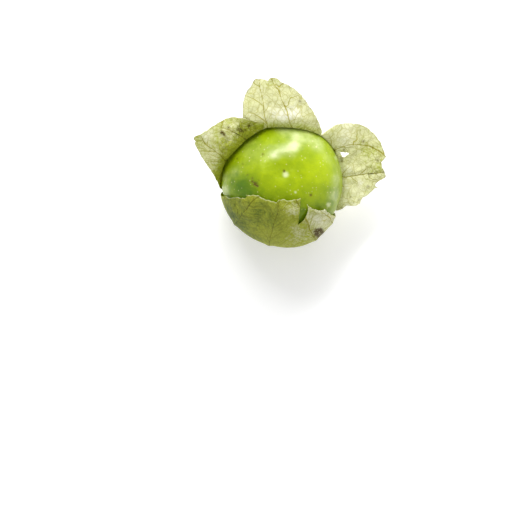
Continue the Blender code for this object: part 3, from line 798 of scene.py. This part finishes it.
@dataclass
class Husk:
    """The husk, in millimetres and degrees: one sheet of paper with ten ribs and five torn lobes.

    It is a cup from the hole round the stem to a rim, and from there a hugging and a free patch for each
    lobe. slack, lip and base_green_and_shade go by azimuth; base_green_and_shade is partly painted shade
    round the near left side. The marks are (x, y, width, strength) in plan, some of them painted shade, and
    a strength under nothing bleaches the paper or paints light on it, hollows, or lightens.
    """

    fruit: Fruit
    thickness: float = 0.28
    solid_thickness: float = 0.6
    clearance: float = 0.35
    rest_ring: tuple[float, float] = (6.5, 10.5)
    hole_radius: float = 2.3
    cup_rows: tuple[int, int, int] = (9, 6, 21)
    hug_rows: int = 14
    rim_latitude: float = -20.0
    rib_height: float = 0.6
    rib_width: float = 1.1
    rib_start: float = 1.0
    rib_growth: float = 6.0
    rib_flattened: float = 0.3
    rib_flattening: tuple[float, float] = (-15.0, 35.0)
    ribs: tuple[float, ...] = (5.0, 31.0, 80.0, 106.0, 131.0, 160.0, 222.0, 258.0, 300.0, 320.0)
    rib_tips: tuple[float, ...] = (6.2, 13.0, 97.0, 103.0, 141.0, 151.0, 215.0, 262.0, 306.0, 322.0)
    belly_depth: float = 1.6
    belly_latitude: float = -40.0
    belly_spread: float = 14.0
    belly_between_ribs: float = 0.45
    pleat_width: float = 3.5
    slack_latitude: float = 8.0
    slack_spread: float = 28.0
    slack: Stations = (
        (-29, 0.1), (-10, -0.15), (60, -0.15), (100, -0.1), (130, 0.2), (188, 0.3), (222, 0.6), (258, 1.1),
        (295, 2.3), (312, 1.6), (331, 0.5))
    lip: Stations = (
        (30, 0), (50, 0.05), (80, 0.15), (105, 0.6), (130, 1.1), (150, 1), (170, 0.5), (188, 0))
    # the deeper green round the near left side, from 188 to 285 degrees, is partly painted shade
    base_green_and_shade: Stations = (
        (-29, 0.4), (20, 0.4), (80, 0.35), (130, 0.6), (188, 1.1), (212, 1.45), (245, 1.25), (285, 0.7),
        (310, 0.4), (331, 0.3))
    swells: Marks = (
        # the closed lobes' soft bulges
        (3, -11.5, 3, 0.9), (-2, -10, 2.5, 0.6), (-13.5, -7.5, 2.5, 0.4), (16, -16, 2.5, 0.5),
        # the crease along the left lobe's bend
        (-21.6, 16.4, 1, -0.7), (-22.8, 14.8, 1, -0.8), (-23.5, 13, 1, -0.8), (-23.8, 11.2, 1, -0.8),
        (-23.8, 9.4, 1, -0.8), (-24, 7.4, 1, -0.6), (-24.6, 5.2, 1, -0.4), (-24.4, 19.4, 0.8, 0.7),
        # broad swells on the right and the far lobe
        (31, 15, 5, 0.8), (34, -5, 4, 0.7), (-2, 33, 4, 0.6), (9, 30, 3.5, -0.5))
    flutter: float = 0.5
    flutter_count: int = 13
    crumple: float = 0.16
    fold_shade_width: float = 2.2
    flared_crumples: tuple[float, float] = (7.0, 3.2)
    closed_crumples: float = 6.0
    seam: float = -29.0
    profile_step: float = 0.05
    ring_margin: float = 0.5
    crowding: float = 1.15
    least_reach: float = 0.4
    edge_band: float = 0.025
    marked_from: float = 21.0
    marked_over: float = 7.0
    flared_fray: Waves = ((0.09, 71.0, 0.0), (0.06, 117.0, 1.0))
    closed_fray: Waves = ((0.12, 90.0, 0.0), (0.1, 41.0, 2.0))
    finish: DriedHusk = field(default_factory=DriedHusk)
    stain_shade_and_light_marks: Marks = (
        # stains above the left lobe's crease
        (-16.8, 20.1, 0.8, 1), (-13.5, 22.1, 0.7, 1), (-18, 20.7, 0.5, 0.8), (-11.2, 21.7, 0.5, 0.7),
        (-15.1, 20.3, 0.5, 0.8), (-14.3, 18.2, 0.4, 0.8), (-15.1, 17, 0.4, 0.7), (-12.2, 22.3, 0.4, 0.8),
        # painted shade: the dark line in its bend, with the brown of the pleat there
        (-22.8, 17.4, 0.5, 0.6), (-21.8, 16, 0.45, 0.5), (-21.8, 14.4, 0.4, 0.4), (-22.4, 12.8, 0.4, 0.4),
        (-23.2, 11.2, 0.4, 0.35), (-23.8, 9.4, 0.4, 0.3),
        # the rotten patch on the near right lobe, paler in its middle, with a painted highlight on the ridge
        # above it
        (13.6, -20.6, 1.1, 1.9), (15.3, -19.8, 0.9, 1.8), (16.4, -21, 0.9, 1.8), (14.6, -22, 1.1, 1.9),
        (15, -21, 0.6, -0.8), (14.5, -15.5, 3, -0.4),
        # the far lobe's corner, and stains at the crease's outer end
        (-12.3, 41.2, 0.8, 0.9), (-24.6, 19.4, 0.7, 1.5), (-23.6, 18.4, 0.6, 1.3), (-21.8, 21.2, 0.5, 1.2),
        # paler places: painted light on the far lobe's foot, at the left lobe's tip and along the right lobe
        # beside the fruit; bleached paper elsewhere on the right lobe
        (0.5, 26, 3.5, -0.8), (5, 27.5, 3, -0.7), (-4, 27.5, 2.5, -0.4), (32.4, -0.4, 0.9, -1),
        (32.1, -2.2, 0.7, -0.8), (27, 24, 3.5, -0.4), (30, -11, 3, -0.4), (-31, 18, 2.5, -0.6),
        (25.5, 17, 3.5, -0.5), (27.2, 5, 2, -0.5), (27, -2, 2, -0.5), (26.5, -8, 2, -0.4),
        # specks round the hole and on the right and far lobes
        (24.9, 9.9, 0.7, 0.5), (24.8, 8.7, 0.5, 0.9), (25.6, 13.3, 0.5, 1), (33.5, 16.6, 0.5, 0.9),
        (39.6, 9, 0.9, 0.6), (28.4, -6.4, 0.5, 0.9), (27.5, -8.6, 0.5, 0.8), (29.6, -8.6, 0.5, 0.7),
        (24.8, -10.6, 0.5, 0.8), (31.8, -7.4, 0.5, 0.7), (35.6, -1.8, 0.5, 0.9), (7, 32, 0.5, 0.8))
    green_and_shade_marks: Marks = (
        # darker along the left lobe's steep strip (the first four) and at the far lobe's foot (1, 22.5),
        # painted shade; on the near left lobe darker to the left at (-16, -12) and (-6, -14), painted shade,
        # and paler at (4, -11), painted light; the rest tint the paper greener or paler
        (-19.5, 12.5, 3.2, 0.3), (-22.5, 8, 1.8, 0.35), (-23.8, 4.5, 1.2, 0.3), (-15, 18.5, 3, 0.35),
        (1, 22.5, 3, 0.3), (39, 7, 4, 0.3), (-13, 31, 4, 0.2), (12.5, -13, 2.5, 0.35), (36, 15, 4, 0.15),
        (24, 17, 4, -0.1), (30.5, -5, 4, -0.15), (36, 12, 4, 0.15), (-16, -12, 9, 0.35), (-6, -14, 5, 0.2),
        (4, -11, 4, -0.7), (-12, -6.3, 1.5, -0.5), (-4, 40, 5, 0.3), (9, -11, 2, 0.3), (9, -17, 3, 0.2))
    dark_rib_marks: Marks = (
        # the right lobe's two ribs
        (37, 3.9, 3, 1), (42, 4.6, 2.5, 0.9), (31, 2.8, 2.5, 0.5), (38, 10.5, 3, 0.3), (26, 13, 3, 0.4),
        # the left lobe's crease
        (-16, 20.8, 2.2, 1.6), (-12, 22, 1.8, 1.6), (-18, 19, 1.5, 1.2))
    hole: tuple[float, float, float, float] = (25.7, 11.3, 1.6, 1.0)
    lobes: dict[str, Lobe] = field(default_factory=lambda: dict(LOBES))

    def rib_distance(self, azimuth: np.ndarray, radius: np.ndarray) -> np.ndarray:
        """How far round the axis the nearest rib is, in millimetres."""
        gap = np.abs((azimuth[..., None] - np.array(self.ribs) + 180) % 360 - 180)
        return np.radians(gap.min(axis=-1)) * radius

    def rib_relief(self, azimuth: np.ndarray, radius: np.ndarray) -> np.ndarray:
        """Ridges that stand out by rib_height on a rib, and die away towards the rest ring."""
        fade = np.clip((radius - self.rest_ring[1] - self.rib_start) / self.rib_growth, 0, 1)
        return self.rib_height * fade * np.exp(-(self.rib_distance(azimuth, radius) / self.rib_width) ** 2)

    def rib_values(self, azimuth: np.ndarray, radius: np.ndarray, length: np.ndarray,
                   out: np.ndarray) -> np.ndarray:
        """The ribs' pattern: a count that is whole on each rib, their spacing, and the way along the husk.

        The count is the sum, over the gaps between ribs, of how far across each gap a point is, from 0 to 1.

        Args:
            azimuth: Degrees round the axis, in the turn that begins at seam.
            radius: Distance from the axis.
            length: Distance along the husk.
            out: 0 where a lobe folds, and 1 at its edge; ribs shift from ribs to rib_tips on the way.

        Returns:
            Three numbers for each point.
        """
        first = np.array(self.ribs)
        last = np.array(self.rib_tips)
        first = np.concatenate([first[-2:] - 360, first, first[:1] + 360])
        last = np.concatenate([last[-2:] - 360, last, last[:1] + 360])
        count = np.zeros(np.broadcast(azimuth, out).shape)
        for i in range(len(first) - 1):
            start = blend(first[i], last[i], out)
            end = blend(first[i + 1], last[i + 1], out)
            count = count + np.clip((azimuth - start) / (end - start), 0, 1)
        edges = np.interp(azimuth, (first[1:] + first[:-1]) / 2, np.diff(first))
        spacing = np.radians(edges) * radius
        return np.stack(np.broadcast_arrays(count, spacing, length), axis=-1)

    def follow_fruit(self, azimuth: np.ndarray, latitude: np.ndarray, lift: np.ndarray = 0.0) -> np.ndarray:
        """Points off the fruit's profile, along its normal, by clearance, slack, belly, ribs and lift.

        Slack and belly are bell curves by latitude, and the belly is deeper beside the ribs.

        Args:
            azimuth: Degrees round the axis.
            latitude: Degrees up the fruit.
            lift: Further distance off the fruit.

        Returns:
            The points, in millimetres from the fruit's axis and the floor.
        """
        azimuth, latitude, lift = np.broadcast_arrays(azimuth, latitude, lift)
        step = self.profile_step
        radius, height = self.fruit.section(latitude)
        low, high = self.fruit.section(latitude - step), self.fruit.section(latitude + step)
        along = np.stack([high[0] - low[0], high[1] - low[1]])
        along = along / np.hypot(*along)
        slack = through(np.mod(azimuth - self.seam, 360) + self.seam, self.slack)
        slack = slack * np.exp(-((latitude - self.slack_latitude) / self.slack_spread) ** 2)
        pleat = np.exp(-(self.rib_distance(azimuth, radius) / self.pleat_width) ** 2)
        belly = self.belly_depth * np.exp(-((latitude - self.belly_latitude) / self.belly_spread) ** 2)
        slack = slack + belly * blend(self.belly_between_ribs, 1.0, pleat)
        start, over = self.rib_flattening
        flattened = blend(1.0, self.rib_flattened, np.clip((latitude - start) / over, 0, 1))
        off = self.clearance + slack + self.rib_relief(azimuth, radius) * flattened + lift
        radius = radius + along[1] * off
        height = height - along[0] * off + self.fruit.middle
        low, high = self.rest_ring[0] - self.ring_margin, self.rest_ring[1] + self.ring_margin
        height = np.where((latitude < 0) & (radius > low) & (radius < high), self.solid_thickness, height)
        return place(azimuth, radius, height)

    def dress(self, points: np.ndarray, azimuth: np.ndarray, out: np.ndarray, length: np.ndarray,
              green: Union[np.ndarray, float], marked: Union[np.ndarray, float] = 0.0,
              lobe: Optional[Lobe] = None) -> Patch:
        """A patch's points with the values that its finish reads.

        Args:
            points: The grid of points.
            azimuth: Their azimuths.
            out: 0 where a lobe folds, and 1 at its edge.
            length: Distance along the husk.
            green: The paper's greenness, which holds painted shade beside the folds and on the near left
                lobe.
            marked: How far the marks given in plan show on it.
            lobe: The lobe that it is the free part of, if it is one.

        Returns:
            The points and the attribute rows.
        """
        azimuth, out, length = np.broadcast_arrays(azimuth, out, length)
        rim_brown_and_highlight, rib_bend = (lobe.rim_brown_and_highlight, lobe.rib_bend) if lobe else (0.0, 1.0)
        radius = np.hypot(points[..., 0], points[..., 1])
        # tone is greenness with painted shade from the green marks; brown holds stains and painted shade,
        # and below nothing bleached paper, painted light and the closed lobes' painted edge highlight
        tone = green + spots(points, self.green_and_shade_marks) * marked
        at_edge = np.clip((out - 1) / self.edge_band + 1, 0, 1)
        brown = spots(points, self.stain_shade_and_light_marks) * marked + rim_brown_and_highlight * at_edge
        dark = spots(points, self.dark_rib_marks) * marked
        values = {
            "husk_rib": self.rib_values(azimuth, radius, length, out ** rib_bend),
            "husk_tone": np.stack([tone, brown, dark], axis=-1),
        }
        return points, values

    def cup(self) -> Patch:
        """The patch from the hole round the stem to the rim, with the columns of the lobes above it.

        Returns:
            The points and the attribute rows.
        """
        azimuth = np.concatenate([np.linspace(*lobe.rim, lobe.columns + 1) for lobe in self.lobes.values()])
        azimuth = np.unique(np.round(azimuth, 6))[None, :]
        rim_radius = self.fruit.radius * np.cos(np.radians(self.rim_latitude)) ** (2 / self.fruit.fullness)
        stops = (self.hole_radius, *self.rest_ring, rim_radius)
        rings = np.concatenate([np.linspace(start, end, rows)[:-1]
                                for start, end, rows in zip(stops, stops[1:], self.cup_rows)])
        latitude = np.append(-self.fruit.latitude_at(rings, self.fruit.radius), self.rim_latitude)[:, None]
        points = self.follow_fruit(azimuth, latitude)
        length = np.radians(latitude + 90) * self.fruit.radius
        return self.dress(points, azimuth, 0.0, length, through(azimuth, self.base_green_and_shade))

    def hugging(self, lobe: Lobe) -> Patch:
        """The patch of a lobe between the cup's rim and its fold, which follows the fruit.

        Args:
            lobe: The lobe.

        Returns:
            The points and the attribute rows. The marks fade down the wall, or they would run along it.
        """
        across = np.linspace(0, 1, lobe.columns + 1)[None, :]
        up = np.linspace(0, 1, self.hug_rows + 1)[:, None]
        at_fold = blend(*lobe.fold, across)
        azimuth = blend(blend(*lobe.rim, across), at_fold, up)
        latitude = blend(self.rim_latitude, through(at_fold, lobe.fold_latitudes), up)
        points = self.follow_fruit(azimuth, latitude, through(at_fold, self.lip) * up ** 2)
        length = np.radians(latitude + 90) * self.fruit.radius
        seen_from_above = np.clip((points[..., 2] - self.marked_from) / self.marked_over, 0, 1)
        marked = seen_from_above if lobe.habit is Habit.CLOSED else np.clip(5 * up - 4, 0, 1)
        return self.dress(points, azimuth, 0.0, length, through(azimuth, self.base_green_and_shade), marked)

    def flared(self, lobe: Lobe) -> Patch:
        """The patch of a lobe that opens outwards.

        With d the distance from the fold and q = d / run, its height is that of the fold plus
        rise q / (1 + q^corner)^(1 / corner) + slope d, with cupping at the sides, flutter at the edge, and
        ribs and crumples.

        Args:
            lobe: The lobe.

        Returns:
            The points and the attribute rows.
        """
        across = np.linspace(0, 1, lobe.columns + 1)[None, :]
        out = np.linspace(0, 1, lobe.free_rows + 1)[:, None] ** self.crowding
        at_fold = blend(*lobe.fold, across)
        latitude = through(at_fold, lobe.fold_latitudes)
        fold = self.follow_fruit(at_fold, latitude, through(at_fold, self.lip))
        fold_radius = np.hypot(fold[..., 0], fold[..., 1])
        edge_azimuth = blend(lobe.edge[0][0], lobe.edge[-1][0], across)
        reach = through(edge_azimuth, lobe.edge)
        for centre, half_width, depth in lobe.nicks:
            reach = reach - depth * np.clip(1 - np.abs(edge_azimuth - centre) / half_width, 0, 1)
        reach = reach + fray(np.radians(edge_azimuth), self.flared_fray)
        reach = np.maximum(reach, fold_radius + self.least_reach)
        azimuth = blend(at_fold, edge_azimuth, out)
        distance = (reach - fold_radius) * out
        steep = distance / through(azimuth, lobe.run)
        climb = through(azimuth, lobe.rise) * steep / (1 + steep ** lobe.corner) ** (1 / lobe.corner)
        side = (2 * across - 1) ** 2
        height = fold[..., 2] + climb + lobe.slope * distance + lobe.cupping * side * out
        soft = np.clip(3 * out, 0, 1)
        height = height - self.rib_relief(azimuth, fold_radius + distance) * self.rib_flattened * soft
        height = height + self.flutter * out ** 2 * np.sin(self.flutter_count * np.radians(azimuth))
        points = place(azimuth, fold_radius + distance, height)
        broad, small = self.flared_crumples
        crumple = self.crumple * (ripple(points, broad, seed=3) + 0.6 * ripple(points, small, seed=4))
        points[..., 2] += (crumple + spots(points, self.swells)) * np.clip(distance / 3, 0, 1)
        points[0] = fold[0]
        length = np.radians(latitude + 90) * self.fruit.radius + distance
        # painted shade, deeper green beside the fold, and painted light there where fold_shade is below
        # nothing
        shaded = lobe.green + lobe.fold_shade * np.exp(-(distance / self.fold_shade_width) ** 2)
        return self.dress(points, azimuth, out, length, shaded, 1.0, lobe)

    def closed(self, lobe: Lobe) -> Patch:
        """The patch of a lobe that closes over the fruit, up to an edge given in plan.

        Each of its lines is straight in plan from the fold to the edge, and its height is the fruit's there,
        with the lift growing as the square of the way up.

        Args:
            lobe: The lobe.

        Returns:
            The points and the attribute rows.
        """
        across = np.linspace(0, 1, lobe.columns + 1)
        up = np.linspace(0, 1, lobe.free_rows + 1)[:, None]
        corners = np.array(lobe.edge, float)
        along = np.concatenate([[0], np.cumsum(np.hypot(*np.diff(corners, axis=0).T))])
        along = along / along[-1]
        x = np.interp(across, along, corners[:, 0])
        y = np.interp(across, along, corners[:, 1]) + fray(across, self.closed_fray)
        edge_azimuth = np.degrees(np.arctan2(y, x)) % 360
        reach = self.fruit.radius + self.clearance + through(across, lobe.lift)
        edge_latitude = self.fruit.latitude_at(np.hypot(x, y), reach)
        at_fold = blend(*lobe.fold, across)
        latitude_at_fold = through(at_fold, lobe.fold_latitudes)
        latitude = blend(latitude_at_fold[None, :], edge_latitude[None, :], up)
        fold_radius = self.fruit.section(latitude_at_fold)[0]
        edge_radius = self.fruit.section(edge_latitude)[0]
        inward = (fold_radius - self.fruit.section(latitude)[0]) / (fold_radius - edge_radius)
        azimuth = self.straight_way(at_fold, fold_radius, edge_azimuth, edge_radius, inward)
        azimuth = azimuth + lobe.bow * 4 * up * (1 - up) * (1 - across) ** 3
        flat = self.follow_fruit(azimuth, latitude)
        crumple = self.crumple * (1 + ripple(flat, self.closed_crumples, seed=8)) * np.clip(4 * up, 0, 1)
        crumple = crumple + spots(flat, self.swells) * np.clip(3 * up, 0, 1)
        points = self.follow_fruit(azimuth, latitude, through(across, lobe.lift) * up ** 2 + crumple)
        length = np.radians(latitude + 90) * self.fruit.radius
        green = blend(through(at_fold, self.base_green_and_shade), lobe.green, np.clip(2 * up, 0, 1))
        return self.dress(points, azimuth, up, length, green, 1.0, lobe)

    @staticmethod
    def straight_way(fold_azimuth: np.ndarray, fold_radius: np.ndarray, edge_azimuth: np.ndarray,
                     edge_radius: np.ndarray, inward: np.ndarray) -> np.ndarray:
        """Azimuths along lines that are straight in plan, from points on the fold to points on the edge.

        Args:
            fold_azimuth: Azimuths at the fold.
            fold_radius: Distances from the axis at the fold.
            edge_azimuth: Azimuths at the edge.
            edge_radius: Distances from the axis at the edge.
            inward: How far along each line a point lies, from 0 to 1.

        Returns:
            The azimuths, from 0 to 360.
        """
        start = place(fold_azimuth, fold_radius, 0.0)
        end = place(edge_azimuth, edge_radius, 0.0)
        way = blend(start[None], end[None], inward[..., None])
        return np.degrees(np.arctan2(way[..., 1], way[..., 0])) % 360

    def pierce(self, points: np.ndarray, quads: np.ndarray) -> tuple[np.ndarray, np.ndarray]:
        """Opens the hole: drops the faces inside an ellipse in plan, and moves the rim's points onto it.

        Args:
            points: All points of the sheet.
            quads: All its faces.

        Returns:
            The points and the faces that are left.
        """
        x, y, half_width, half_height = self.hole
        away = np.stack([(points[:, 0] - x) / half_width, (points[:, 1] - y) / half_height], axis=-1)
        angle = np.arctan2(away[:, 1], away[:, 0])
        rim = 1 + 0.25 * np.sin(3 * angle + 0.5) + 0.08 * np.sin(8 * angle)
        reach = np.hypot(*away.T) / rim
        inside = (reach[quads].mean(axis=1) < 1) & (points[quads][..., 2].mean(axis=1) > 10)
        edge = np.intersect1d(quads[inside], quads[~inside])
        points[edge, 0] = x + (points[edge, 0] - x) / reach[edge]
        points[edge, 1] = y + (points[edge, 1] - y) / reach[edge]
        return points, quads[~inside]

    def build(self) -> bpy.types.Object:
        """The fine sheet: all patches joined where they meet, with the paper's thickness laid on outside.

        Returns:
            The piece, which stands for the CAD husk.
        """
        patches = [self.cup()]
        for lobe in self.lobes.values():
            patches.append(self.hugging(lobe))
            patches.append(self.flared(lobe) if lobe.habit is Habit.FLARED else self.closed(lobe))
        points, quads, values, count = [], [], {"husk_rib": [], "husk_tone": []}, 0
        for patch, carried in patches:
            rows, columns = patch.shape[:2]
            quads.append(grid_quads(rows, columns, count))
            points.append(patch.reshape(-1, 3))
            for name, rows_of in carried.items():
                values[name].append(rows_of.reshape(-1, 3))
            count += rows * columns
        whole, faces = self.pierce(np.concatenate(points), np.concatenate(quads))
        joined = {name: np.concatenate(rows) for name, rows in values.items()}
        piece = make_piece("husk_paper", whole, faces, joined, self.finish.material())
        wall = piece.modifiers.new("paper thickness", "SOLIDIFY")
        wall.thickness = self.thickness * MM
        wall.offset = 1.0
        return piece


@dataclass
class Stem:
    """The stem, in millimetres: a stub snapped off in the hollow, with a collar under the fruit."""

    fruit: Fruit
    radius: float = 1.3
    collar: float = 1.65
    foot: float = 0.5
    top_gap: float = 0.9
    broken: float = 0.12
    columns: int = 64
    rows: int = 40
    finish: GreenBark = field(default_factory=GreenBark)

    def build(self) -> bpy.types.Object:
        """The fine mesh: a profile turned round the axis, with ridges along it and a rough broken end.

        Returns:
            The piece, which stands for the CAD stem.
        """
        top = self.fruit.middle + float(self.fruit.section(np.array(-89.99))[1]) - self.top_gap
        profile = (                 # the way along, radius and height
            (0.0, 0.05, self.foot + 0.1), (0.12, self.radius * 1.02, self.foot),
            (0.25, self.radius * 1.15, self.foot + 0.4), (0.5, self.radius, blend(self.foot, top, 0.5)),
            (0.75, self.radius * 1.1, top - 0.6), (0.85, self.collar, top - 0.3),
            (0.93, self.collar * 0.9, top - 0.05), (1.0, 0.05, top))
        along = np.linspace(0, 1, self.rows + 1)[:, None]
        azimuth = np.linspace(0, 360, self.columns + 1)[None, :]
        radius = np.maximum(through(along, [(t, r) for t, r, _ in profile]), 0.02)
        height = through(along, [(t, z) for t, _, z in profile])
        ridged = radius * (1 + 0.05 * np.cos(np.radians(azimuth) * 9) * np.sin(np.pi * along))
        broken = self.broken * np.sin(np.radians(azimuth) * 5 + 1) * np.exp(-(along / 0.2) ** 2)
        broken = broken * (radius / self.radius)
        points = place(azimuth, ridged, height + broken)
        return turned_piece("stem_stub", points, {}, self.finish.material())


@dataclass
class Studio:
    """The light table, the sky, one soft key light and the camera straight above, in metres.

    camera_from_axis is where the camera stands in plan, in millimetres from the fruit's axis.
    """

    camera_height: float = 1.0215
    camera_from_axis: tuple[float, float] = (-11.15, -30.25)
    lens: float = 171.0
    sky_low: float = 1.25
    sky_high: float = 0.45
    key_power: float = 8.5
    key_size: tuple[float, float] = (0.9, 0.22)
    key_place: tuple[float, float, float] = (0.03, 0.63, 0.5)
    key_turn: float = 39.0
    finish: OpalAcrylic = field(default_factory=OpalAcrylic)

    def build(self) -> None:
        """Makes the table, the sky, the key light and the camera."""
        mesh = bpy.data.meshes.new("sweep")
        half = FLOOR_SPAN / 2
        corners = [(-half, -half, 0), (half, -half, 0), (half, half, 0), (-half, half, 0)]
        mesh.from_pydata(corners, [], [(0, 1, 2, 3)])
        mesh.materials.append(self.finish.material())
        sweep = bpy.data.objects.new("sweep", mesh)
        bpy.context.scene.collection.objects.link(sweep)
        world = bpy.data.worlds.new("studio")
        world.use_nodes = True
        tree = world.node_tree
        sky = tree.nodes["Background"]
        sky.inputs["Color"].default_value = linear("#FFFFFF")
        up = add(tree, Step.SPLIT, add(tree, Step.PLACE).outputs["Generated"]).outputs[2]
        brightness = add(tree, Step.RAMP, up, 0.3, 0.95, self.sky_low, self.sky_high)
        tree.links.new(brightness.outputs["Result"], sky.inputs["Strength"])
        bpy.context.scene.world = world
        self.lamp("key", self.key_place, self.key_size, self.key_power, self.key_turn)
        camera = bpy.data.cameras.new("camera")
        camera.lens = self.lens
        camera.clip_start = 0.01
        holder = bpy.data.objects.new("camera", camera)
        x, y = (np.array(AXIS) + self.camera_from_axis) * MM
        holder.location = (x, y, self.camera_height)
        bpy.context.scene.collection.objects.link(holder)
        bpy.context.scene.camera = holder
        bpy.context.scene.view_settings.view_transform = "Standard"

    def lamp(self, name: str, spot: tuple[float, float, float], size: tuple[float, float], power: float,
             turn: float) -> None:
        """Adds a softbox that faces the object.

        Args:
            name: Its name.
            spot: Where it stands, in metres.
            size: Its width and height in metres.
            power: Its power in watts.
            turn: Degrees by which it is turned in its own plane.
        """
        light = bpy.data.lights.new(name, "AREA")
        light.shape = "RECTANGLE"
        light.size, light.size_y = size
        light.energy = power
        holder = bpy.data.objects.new(name, light)
        holder.location = spot
        facing = (Vector((0, 0, 0.02)) - Vector(spot)).to_track_quat("-Z", "Y")
        holder.rotation_euler = (facing @ Quaternion((0, 0, 1), np.radians(turn))).to_euler()
        bpy.context.scene.collection.objects.link(holder)


def settle(piece: bpy.types.Object, node: str) -> None:
    """Rides a piece on the one body, in place of its CAD node, and logs it.

    Args:
        piece: The piece.
        node: The CAD node that it stands for.
    """
    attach(piece, BODY)
    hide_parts(node)
    log.info("%s made: %d faces", piece.name, len(piece.data.polygons))


def main() -> None:
    """Builds the studio, then the fruit, the husk and the stem."""
    logging.basicConfig(level=logging.INFO, format="%(message)s")
    Studio().build()
    fruit = Fruit()
    settle(fruit.build(), "fruit")
    settle(Husk(fruit).build(), "husk")
    settle(Stem(fruit).build(), "stem")
    bpy.context.view_layer.update()


if __name__ == "__main__":
    main()
